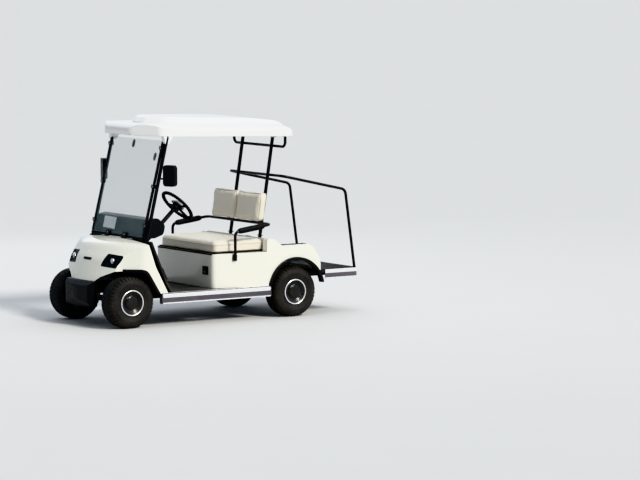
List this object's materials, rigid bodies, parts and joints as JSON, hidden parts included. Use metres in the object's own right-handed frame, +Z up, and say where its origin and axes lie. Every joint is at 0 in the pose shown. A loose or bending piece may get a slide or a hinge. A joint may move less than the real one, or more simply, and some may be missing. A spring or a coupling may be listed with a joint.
{
  "type": "golf cart",
  "caption": "Two-seat golf cart with a moulded body, canopy roof on posts, clear front screen, bench seat, bag well, handrail hoop and rear platform.",
  "frame": {"origin": "middle of the outline on the ground, under the wheels", "axes": "+X forward along the length, +Y to the driver's left, +Z up"},
  "size_m": [2.7409, 1.3184, 1.8557],
  "materials": {
    "black_steel": "semi gloss black paint",
    "spring_steel": "dark oiled spring steel",
    "motor_shell": "dark paint",
    "battery_case": "matt black cases",
    "body_white": "moulded, glossy off-white",
    "roof_white": "moulded, satin white",
    "black_plastic": "grained black moulding",
    "sill_plastic": "ribbed light grey strip",
    "lamp_lens": "clear lens over a dark housing",
    "clear_sheet": "clear sheet with a faint tint",
    "black_tube": "satin black powder coat",
    "floor_rubber": "ribbed mat",
    "bright_edge": "bright extruded edge",
    "seat_vinyl": "smooth cream vinyl",
    "wheel_black": "black painted pressed steel",
    "tyre_rubber": "matt black tread rubber",
    "grip_black": "soft-touch black grip"
  },
  "bodies": {
    "body": {"arch_trims": "black_plastic", "backrest_cushions": "seat_vinyl", "bag_well": "black_plastic", "battery_pack": "battery_case", "dash": "black_plastic", "drive_motor": "motor_shell", "floor_pan": "floor_rubber", "frame": "black_steel", "front_axle": "black_steel", "front_bumper": "black_plastic", "front_cowl": "body_white", "front_liners": "black_plastic", "front_posts": "black_tube", "handrail": "black_tube", "headlights": "lamp_lens", "leaf_springs": "spring_steel", "mirrors": "black_plastic", "pedals": "black_steel", "platform_edges": "bright_edge", "rear_axle": "black_steel", "rear_body": "body_white", "rear_liners": "black_plastic", "rear_platform": "floor_rubber", "rear_posts": "black_tube", "receptacle": "black_plastic", "roof": "roof_white", "roof_bar": "black_tube", "screen_mounts": "black_plastic", "seat_frame": "black_tube", "seat_hinges": "black_steel", "side_sills": "sill_plastic", "steering_box": "black_steel", "steering_column": "black_steel", "windshield": "clear_sheet"},
    "knuckle_left": {"knuckle_left": "black_steel"},
    "knuckle_right": {"knuckle_right": "black_steel"},
    "tie_rod": {"tie_rod": "black_steel"},
    "pitman_arm": {"pitman_arm": "black_steel"},
    "steering_wheel": {"steering_wheel": "grip_black"},
    "seat_lid": {"seat_pan": "black_plastic", "seat_cushion": "seat_vinyl"},
    "wheel_front_left": {"tyre_front_left": "tyre_rubber", "rim_front_left": "wheel_black"},
    "wheel_front_right": {"tyre_front_right": "tyre_rubber", "rim_front_right": "wheel_black"},
    "wheel_rear_left": {"tyre_rear_left": "tyre_rubber", "rim_rear_left": "wheel_black"},
    "wheel_rear_right": {"tyre_rear_right": "tyre_rubber", "rim_rear_right": "wheel_black"}
  },
  "joints": [
    {"name": "knuckle_left_turn", "type": "hinge", "parent": "body", "child": "knuckle_left", "pos_m": [1.1035, 0.35, 0.23], "axis": [0, 0, 1], "range_deg": [-28, 28]},
    {"name": "knuckle_right_turn", "type": "hinge", "parent": "body", "child": "knuckle_right", "pos_m": [1.1035, -0.35, 0.23], "axis": [0, 0, 1], "range_deg": [-28, 28]},
    {"name": "tie_rod_pivot", "type": "hinge", "parent": "knuckle_left", "child": "tie_rod", "pos_m": [0.9735, 0.35, 0.215], "axis": [0, 0, 1], "range_deg": [-28, 28]},
    {"name": "pitman_turn", "type": "hinge", "parent": "body", "child": "pitman_arm", "pos_m": [1.0435, 0.1, 0.23], "axis": [0, 0, 1], "range_deg": [-28, 28]},
    {"name": "steering_turn", "type": "hinge", "parent": "body", "child": "steering_wheel", "pos_m": [0.4655, 0.29, 1.055], "axis": [-0.7314, 0, 0.682], "range_deg": [-280, 280]},
    {"name": "seat_lid_hinge", "type": "hinge", "parent": "body", "child": "seat_lid", "pos_m": [0.2155, 0, 0.6185], "axis": [0, 1, 0], "range_deg": [0, 70]},
    {"name": "wheel_front_left_spin", "type": "hinge", "parent": "knuckle_left", "child": "wheel_front_left", "pos_m": [1.1035, 0.475, 0.23], "axis": [0, 1, 0], "continuous": true},
    {"name": "wheel_front_right_spin", "type": "hinge", "parent": "knuckle_right", "child": "wheel_front_right", "pos_m": [1.1035, -0.475, 0.23], "axis": [0, 1, 0], "continuous": true},
    {"name": "wheel_rear_left_spin", "type": "hinge", "parent": "body", "child": "wheel_rear_left", "pos_m": [-0.6115, 0.495, 0.23], "axis": [0, 1, 0], "continuous": true},
    {"name": "wheel_rear_right_spin", "type": "hinge", "parent": "body", "child": "wheel_rear_right", "pos_m": [-0.6115, -0.495, 0.23], "axis": [0, 1, 0], "continuous": true}
  ],
  "couplings": [
    {"joint": "knuckle_right_turn", "follows": "knuckle_left_turn", "ratio": 1},
    {"joint": "tie_rod_pivot", "follows": "knuckle_left_turn", "ratio": -1},
    {"joint": "pitman_turn", "follows": "knuckle_left_turn", "ratio": 1},
    {"joint": "steering_turn", "follows": "knuckle_left_turn", "ratio": 10}
  ]
}
